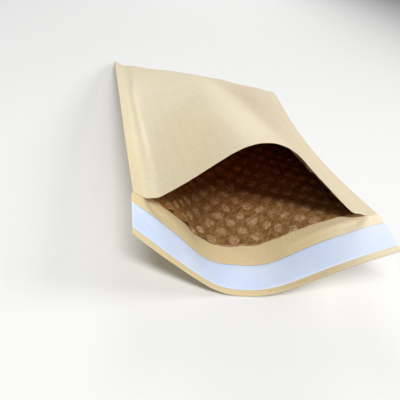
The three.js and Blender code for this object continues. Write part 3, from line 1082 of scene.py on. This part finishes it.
lip_share = attribute(nodes, "lip", "Fac")
film_tone_and_painted_light = blended(nodes, links, lip_share, film_tone_and_painted_light, plain_colour(nodes, FILM_LIP))
# Painted shade deep in the pocket, and painted light at the left of the mouth.
painted_shade_share = share_between(nodes, links, "Y", *PAINTED_SHADE_ALONG_Y)
film_tone_and_painted_light = blended(nodes, links, painted_shade_share, film_tone_and_painted_light, plain_colour(nodes, FILM_DEEP_PAINTED_SHADE), "MULTIPLY")
near_painted_light = share_between(nodes, links, "X", *PAINTED_LIGHT_ALONG_X)
left_painted_light_share = multiplied(near_painted_light, share_between(nodes, links, "Y", *PAINTED_LIGHT_ALONG_Y))
film_tone_and_painted_light = blended(nodes, links, left_painted_light_share, film_tone_and_painted_light, plain_colour(nodes, FILM_LEFT_PAINTED_LIGHT), "MULTIPLY")
links.new(film_tone_and_painted_light, shader.inputs["Base Color"])
shader.inputs["Roughness"].default_value = 0.55
shader.inputs["Coat Weight"].default_value = 0.35
shader.inputs["Coat Roughness"].default_value = 0.3
crinkles = film_noise(CRINKLE_SCALE, 2.0, CRINKLE_STRETCH)
crinkle = bumped(nodes, links, crinkles, strength=0.7, distance=0.001)
crinkle = bumped(nodes, links, streaks, strength=0.6, distance=0.0004, below=crinkle)
links.new(crinkle, shader.inputs["Normal"])

bubble_points = bpy.data.meshes.new("bubble_points")
flat_places = bubble_places()
flat_places = np.concatenate([flat_places, np.zeros((len(flat_places), 1))], axis=1)
bubble_points.from_pydata((flat_places * MM).tolist(), [], [])
bubbles = bpy.data.objects.new("bubbles", bubble_points)
bpy.context.scene.collection.objects.link(bubbles)
one_bubble = bubble_shape()
rows_modifier = bubbles.modifiers.new("bubble_rows", "NODES")
rows_modifier.node_group = bubble_tree(lining_material)
bubble_inputs = {
    "Bubble": one_bubble,
    "Width": BUBBLE_WIDTH * MM,
    "Height": BUBBLE_HEIGHT * MM,
    "Slack": BUBBLE_SLACK,
    "Crumple": BUBBLE_CRUMPLE * MM,
    "Seed": BUBBLE_SEED,
}
set_inputs(rows_modifier, bubble_inputs)
evaluated = bubbles.evaluated_get(bpy.context.evaluated_depsgraph_get())
bubble_mesh = bpy.data.meshes.new_from_object(evaluated)
bubbles.modifiers.remove(rows_modifier)
flat_bubbles = np.array([vertex.co for vertex in bubble_mesh.vertices]) / MM
flat_bubbles[:, 2] = np.clip(flat_bubbles[:, 2], 0.0, BUBBLE_HEIGHT)
bubble_mesh.vertices.foreach_set("co", (bent_into_pocket(flat_bubbles) * MM).astype(np.float32).ravel())
bubble_mesh.flip_normals()

# Each point of a bubble knows its place in the bubble's own turned patch, in radii of the bubble.
luck = np.random.default_rng(BUBBLE_SEED)
patch_turns = PATCH_TURN + PATCH_TURN_SPREAD * luck.normal(size=(len(flat_places), 1))
patch_shifts = PATCH_SHIFT * luck.normal(size=(len(flat_places), 2))
one_shape = np.array([vertex.co for vertex in one_bubble.data.vertices]) * 2.0
aside = one_shape[:, 0] * np.cos(patch_turns) - one_shape[:, 1] * np.sin(patch_turns) - patch_shifts[:, :1]
ahead = one_shape[:, 0] * np.sin(patch_turns) + one_shape[:, 1] * np.cos(patch_turns) - patch_shifts[:, 1:]
patch_values = np.stack([aside, ahead, np.zeros_like(aside)], axis=-1)
patches = bubble_mesh.attributes.new("patch", "FLOAT_VECTOR", "POINT")
patches.data.foreach_set("vector", patch_values.astype(np.float32).ravel())
bubble_mesh.update()
bubbles.data = bubble_mesh
bpy.data.objects.remove(one_bubble)
film.data.materials.append(lining_material)
bubbles.name = "bubble_rows"
film.name = "bubble_film"
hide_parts("bubble_lining")
for piece in (film, bubbles):
    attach(piece, "root")

# Adhesive strip
# A thin coat of pale hot-melt adhesive, laid across the flap in one pass and left tacky.
# The peel-off strip covers it and is a little wider.
LINER_FROM_MOUTH = 11.5
LINER_WIDTH = 26.0
ADHESIVE_MARGIN = 3.0
ADHESIVE_SIDE_MARGIN = 1.0
ADHESIVE_HEIGHT = 0.13
ADHESIVE_THICKNESS = 0.08
ADHESIVE_COLOUR = (0.80, 0.72, 0.50, 1.0)
ADHESIVE_STREAK_SCALE = 300.0
ADHESIVE_STREAK_STRETCH = 0.1
STRIP_COLUMNS = 140
STRIP_ROWS = 26
# The edges of both strips dip to this height above the paper, over this width.
STRIP_EDGE_HEIGHT = 0.09
STRIP_DIP = 2.5
liner_start = POCKET_LENGTH + LINER_FROM_MOUTH


def flap_strip(name, start, end, sides, height, thickness):
    """A thin closed strip at a height above the flap's inner face, with edges that dip to the paper."""
    across = np.linspace(-sides, sides, STRIP_COLUMNS + 1)[None, :]
    along = np.linspace(start, end, STRIP_ROWS + 1)[:, None]
    full = eased(np.minimum(along - start, end - along) / STRIP_DIP)
    height = STRIP_EDGE_HEIGHT + (height - STRIP_EDGE_HEIGHT) * full
    under_paper = paper_inside(across, along) + SHEET_CLEARANCE + relief("back", across, along)
    strip_faces = []
    for above in (height + thickness, height):
        points = at_depth("back", across, along, np.maximum(under_paper, 0.0) - above)
        points[..., 2] = np.maximum(points[..., 2], PAPER_THICKNESS + above)
        strip_faces.append(points)
    places = np.stack(np.meshgrid(across[0], along[:, 0]), axis=-1)
    strip = shell(name, *strip_faces, places)
    facing_out(strip)
    return strip


adhesive = flap_strip(
    "adhesive_coat",
    liner_start + ADHESIVE_MARGIN,
    liner_start + LINER_WIDTH - ADHESIVE_MARGIN,
    half - ADHESIVE_SIDE_MARGIN,
    ADHESIVE_HEIGHT,
    ADHESIVE_THICKNESS,
)
adhesive_material, nodes, links, shader = node_material("hot_melt_adhesive")
shader.inputs["Base Color"].default_value = ADHESIVE_COLOUR
shader.inputs["Roughness"].default_value = 0.2
streaks = sheet_noise(nodes, links, ADHESIVE_STREAK_SCALE, ADHESIVE_STREAK_STRETCH)
links.new(bumped(nodes, links, streaks, strength=0.4, distance=0.0001), shader.inputs["Normal"])
adhesive.data.materials.append(adhesive_material)
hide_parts("adhesive_strip")
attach(adhesive, "root")

# Release liner
# The peel-off strip: white paper with a slick silicone coat that looks cool and bluish beside the kraft.
# It runs the whole width of the flap and lies on the adhesive.
LINER_HEIGHT = 0.3
LINER_THICKNESS = 0.12
LINER_COLOUR = (0.66, 0.775, 1.0, 1.0)
LINER_PALE = (0.74, 0.84, 1.0, 1.0)
# At the right it is paler, which is painted light, from one place along X to another.
LINER_RIGHT_PAINTED_LIGHT = (0.79, 0.865, 1.0, 1.0)
LINER_LIGHT_ALONG_X = (0.05, 0.1)
LINER_TONE_SCALE = 22.0
LINER_RIPPLE_SCALE = 60.0
liner_end = liner_start + LINER_WIDTH
liner = flap_strip("liner_strip", liner_start, liner_end, half, LINER_HEIGHT, LINER_THICKNESS)
liner_material, nodes, links, shader = node_material("silicone_coated_paper")
soft = sheet_noise(nodes, links, LINER_TONE_SCALE, 1.0, detail=2.0)
liner_tone = ramp(nodes, links, soft, 0.35, 0.7, LINER_COLOUR, LINER_PALE)
# Painted light makes the liner's right end paler.
liner_painted_light_share = share_between(nodes, links, "X", *LINER_LIGHT_ALONG_X)
liner_tone = blended(nodes, links, liner_painted_light_share, liner_tone, plain_colour(nodes, LINER_RIGHT_PAINTED_LIGHT))
links.new(liner_tone, shader.inputs["Base Color"])
shader.inputs["Roughness"].default_value = 0.38
shader.inputs["Specular IOR Level"].default_value = 0.5
ripple = sheet_noise(nodes, links, LINER_RIPPLE_SCALE, 1.0, detail=2.0)
links.new(bumped(nodes, links, ripple, strength=0.15, distance=0.0004), shader.inputs["Normal"])
liner.data.materials.append(liner_material)
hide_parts("release_liner")
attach(liner, "root")
